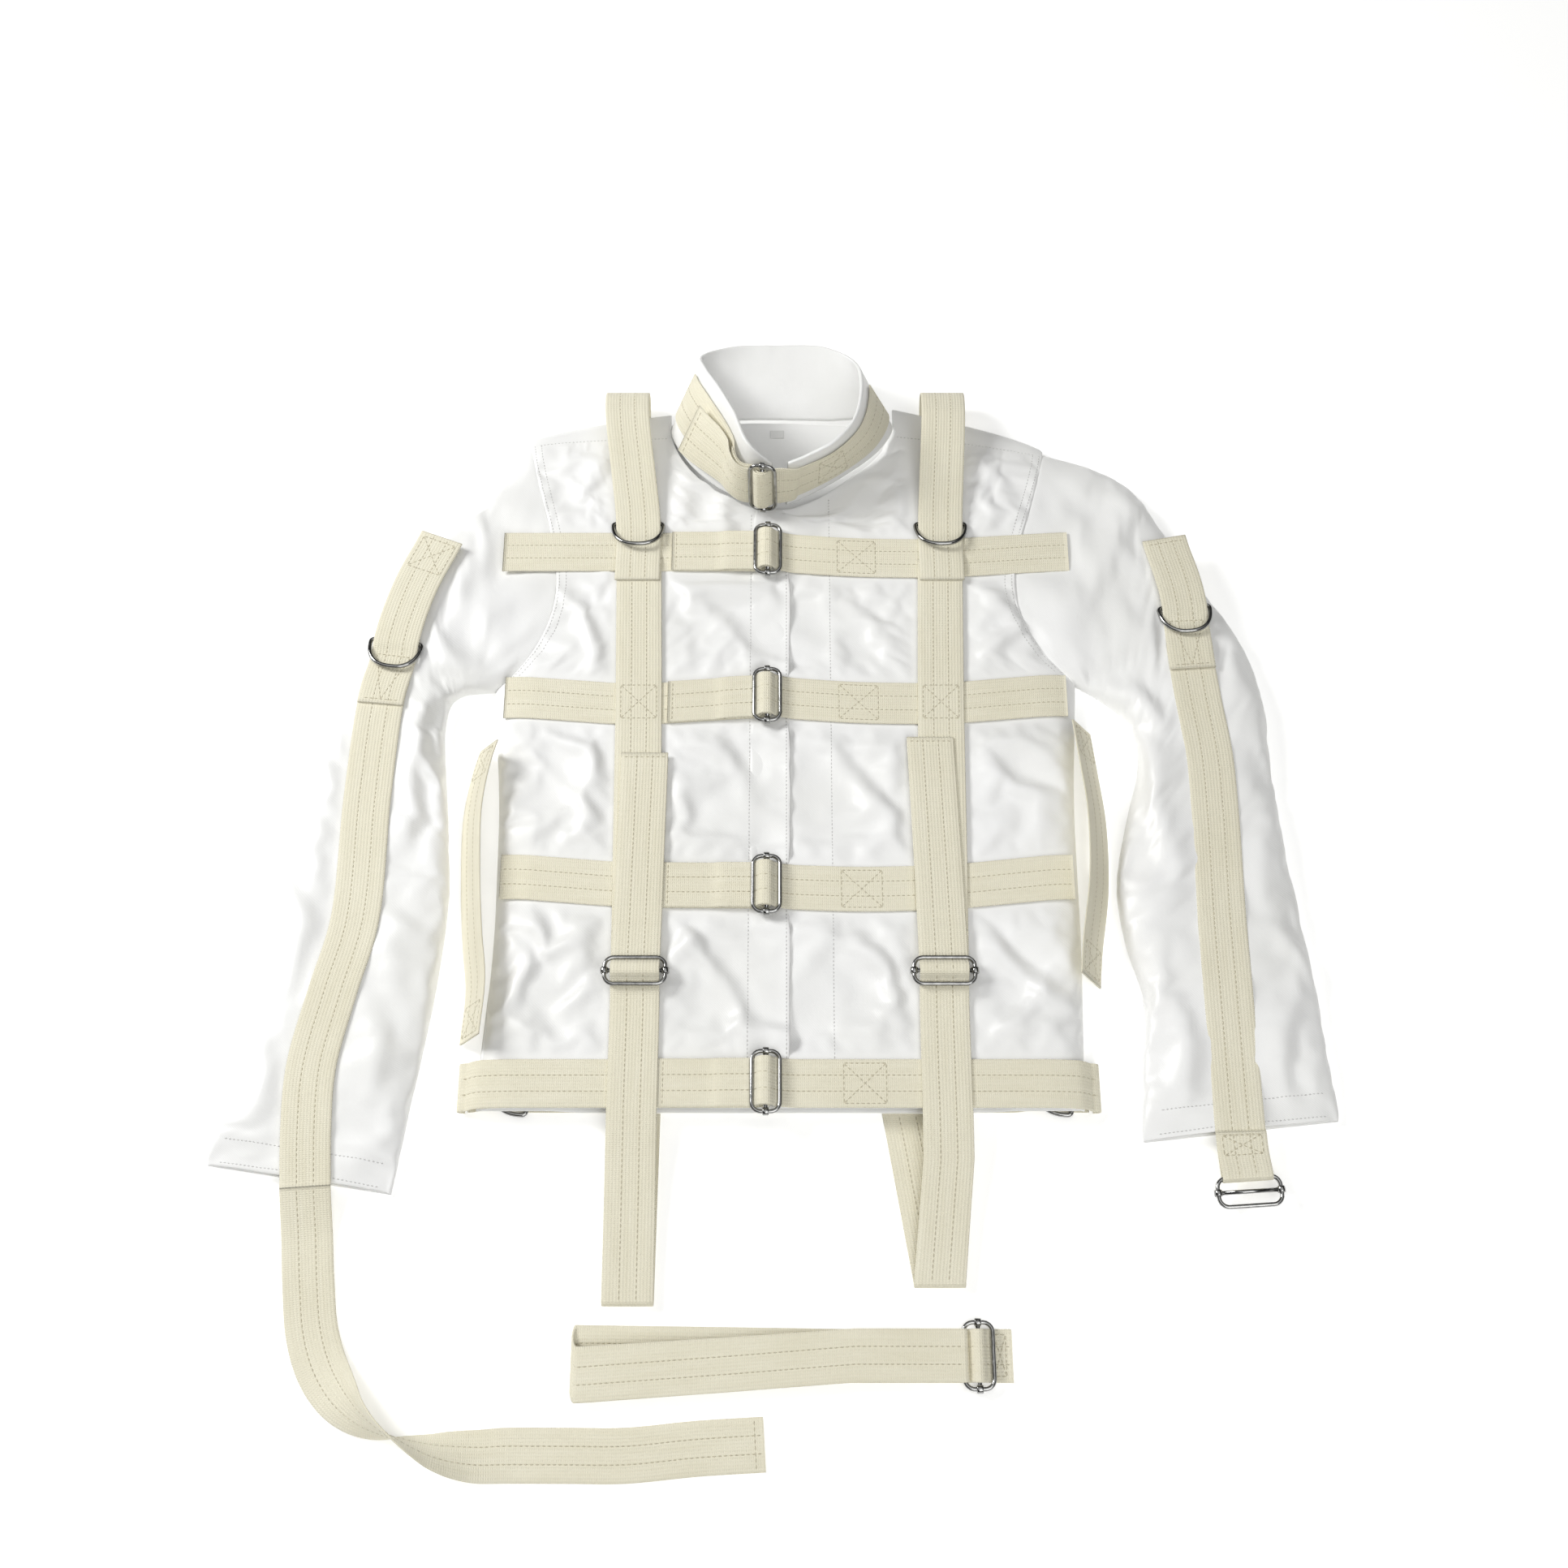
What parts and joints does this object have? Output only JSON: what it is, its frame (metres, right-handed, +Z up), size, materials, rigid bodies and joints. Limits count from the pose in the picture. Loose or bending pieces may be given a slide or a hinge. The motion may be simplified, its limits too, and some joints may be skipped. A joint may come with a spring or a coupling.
{
  "type": "webbing harness jacket",
  "caption": "Long-sleeved white cloth jacket laid flat, with cream webbing belts, harness bands, crotch and sleeve straps, wire slide buckles and D-rings, and a loose belt.",
  "frame": {"origin": "on the floor plane, under the middle of the laid-out jacket's box, the free sleeve strap tail left out", "axes": "+Z up from the floor, +X to the right seen from the hem, +Y from the hem towards the collar"},
  "size_m": [0.895, 1.0099, 0.0846],
  "materials": {
    "white_cloth": "soft white cotton satin, hems and seams double stitched",
    "cream_webbing": "flat woven cream cotton webbing with stitch rows",
    "nickel_wire": "polished nickel-plated round wire",
    "label": "blank woven size label"
  },
  "bodies": {
    "root": {"front_left_panel": "white_cloth", "front_right_panel": "white_cloth", "back_panel": "white_cloth", "sleeve_left": "white_cloth", "sleeve_right": "white_cloth", "collar": "white_cloth", "collar_strap_anchor": "cream_webbing", "collar_strap": "cream_webbing", "collar_buckle_frame": "nickel_wire", "chest_belt_anchor": "cream_webbing", "chest_belt_strap": "cream_webbing", "chest_belt_buckle_frame": "nickel_wire", "waist_belt_anchor": "cream_webbing", "waist_belt_strap": "cream_webbing", "waist_belt_buckle_frame": "nickel_wire", "belly_belt_anchor": "cream_webbing", "belly_belt_strap": "cream_webbing", "belly_belt_buckle_frame": "nickel_wire", "hem_belt_anchor": "cream_webbing", "hem_belt_strap": "cream_webbing", "hem_belt_buckle_frame": "nickel_wire", "hem_belt_back": "cream_webbing", "harness_band_left": "cream_webbing", "crotch_buckle_left_frame": "nickel_wire", "crotch_strap_left": "cream_webbing", "shoulder_strap_left": "cream_webbing", "harness_band_right": "cream_webbing", "crotch_buckle_right_frame": "nickel_wire", "crotch_strap_right": "cream_webbing", "shoulder_strap_right": "cream_webbing", "sleeve_loop_left": "cream_webbing", "sleeve_band_left": "cream_webbing", "sleeve_loop_right": "cream_webbing", "sleeve_band_right": "cream_webbing", "sleeve_tail_left": "cream_webbing", "side_loop_left": "cream_webbing", "side_loop_right": "cream_webbing", "size_label": "label"},
    "collar_buckle_bar": {"collar_buckle_bar": "nickel_wire"},
    "chest_belt_buckle_bar": {"chest_belt_buckle_bar": "nickel_wire"},
    "waist_belt_buckle_bar": {"waist_belt_buckle_bar": "nickel_wire"},
    "belly_belt_buckle_bar": {"belly_belt_buckle_bar": "nickel_wire"},
    "hem_belt_buckle_bar": {"hem_belt_buckle_bar": "nickel_wire"},
    "rear_ring_left": {"rear_ring_left": "nickel_wire"},
    "rear_ring_right": {"rear_ring_right": "nickel_wire"},
    "crotch_buckle_left_bar": {"crotch_buckle_left_bar": "nickel_wire"},
    "shoulder_ring_left": {"shoulder_ring_left": "nickel_wire"},
    "crotch_buckle_right_bar": {"crotch_buckle_right_bar": "nickel_wire"},
    "shoulder_ring_right": {"shoulder_ring_right": "nickel_wire"},
    "sleeve_ring_left": {"sleeve_ring_left": "nickel_wire"},
    "sleeve_ring_right": {"sleeve_ring_right": "nickel_wire"},
    "cuff_buckle": {"cuff_buckle_frame": "nickel_wire"},
    "cuff_buckle_bar": {"cuff_buckle_bar": "nickel_wire"},
    "loose_belt": {"loose_belt": "cream_webbing", "loose_belt_buckle_frame": "nickel_wire"},
    "loose_belt_buckle_bar": {"loose_belt_buckle_bar": "nickel_wire"}
  },
  "joints": [
    {"name": "collar_buckle_bar_slide", "type": "slide", "parent": "root", "child": "collar_buckle_bar", "axis": [-0.9898, 0.1323, -0.0532], "range_m": [0, 0.0015]},
    {"name": "chest_belt_buckle_bar_slide", "type": "slide", "parent": "root", "child": "chest_belt_buckle_bar", "axis": [-1, 0, 0], "range_m": [0, 0.0015]},
    {"name": "waist_belt_buckle_bar_slide", "type": "slide", "parent": "root", "child": "waist_belt_buckle_bar", "axis": [-1, 0, 0], "range_m": [0, 0.0015]},
    {"name": "belly_belt_buckle_bar_slide", "type": "slide", "parent": "root", "child": "belly_belt_buckle_bar", "axis": [-1, 0, 0], "range_m": [0, 0.0015]},
    {"name": "hem_belt_buckle_bar_slide", "type": "slide", "parent": "root", "child": "hem_belt_buckle_bar", "axis": [-1, 0, 0], "range_m": [0, 0.0015]},
    {"name": "rear_ring_left_shift", "type": "slide", "parent": "root", "child": "rear_ring_left", "axis": [1, 0, 0], "range_m": [-0.002, 0]},
    {"name": "rear_ring_right_shift", "type": "slide", "parent": "root", "child": "rear_ring_right", "axis": [1, 0, 0], "range_m": [-0.002, 0]},
    {"name": "crotch_buckle_left_bar_slide", "type": "slide", "parent": "root", "child": "crotch_buckle_left_bar", "axis": [0, 1, 0], "range_m": [0, 0.0015]},
    {"name": "shoulder_ring_left_flip", "type": "hinge", "parent": "root", "child": "shoulder_ring_left", "pos_m": [-0.124, 0.289, 0.0192], "axis": [-1, 0, 0], "range_deg": [0, 115]},
    {"name": "crotch_buckle_right_bar_slide", "type": "slide", "parent": "root", "child": "crotch_buckle_right_bar", "axis": [0, 1, 0], "range_m": [0, 0.0015]},
    {"name": "shoulder_ring_right_flip", "type": "hinge", "parent": "root", "child": "shoulder_ring_right", "pos_m": [0.147, 0.289, 0.0192], "axis": [-1, 0, 0], "range_deg": [0, 115]},
    {"name": "sleeve_ring_left_flip", "type": "hinge", "parent": "root", "child": "sleeve_ring_left", "pos_m": [-0.3316, 0.16491, 0.0245], "axis": [-0.9889, 0.1488, 0], "range_deg": [0, 140]},
    {"name": "sleeve_ring_right_flip", "type": "hinge", "parent": "root", "child": "sleeve_ring_right", "pos_m": [0.35879, 0.2, 0.0245], "axis": [-0.9966, -0.0824, 0], "range_deg": [0, 140]},
    {"name": "cuff_buckle_flip", "type": "hinge", "parent": "root", "child": "cuff_buckle", "pos_m": [0.369, -0.306, 0.01225], "axis": [-0.9979, -0.0644, 0], "range_deg": [0, 150]},
    {"name": "cuff_buckle_bar_slide", "type": "slide", "parent": "cuff_buckle", "child": "cuff_buckle_bar", "axis": [0.0644, -0.9979, 0], "range_m": [-0.003, 0.004]},
    {"name": "loose_belt_shift", "type": "slide", "parent": "root", "child": "loose_belt", "axis": [1, 0, 0], "range_m": [0, 0.08]},
    {"name": "loose_belt_bar_slide", "type": "slide", "parent": "loose_belt", "child": "loose_belt_buckle_bar", "axis": [1, 0, 0], "range_m": [-0.0015, 0.0015]}
  ]
}
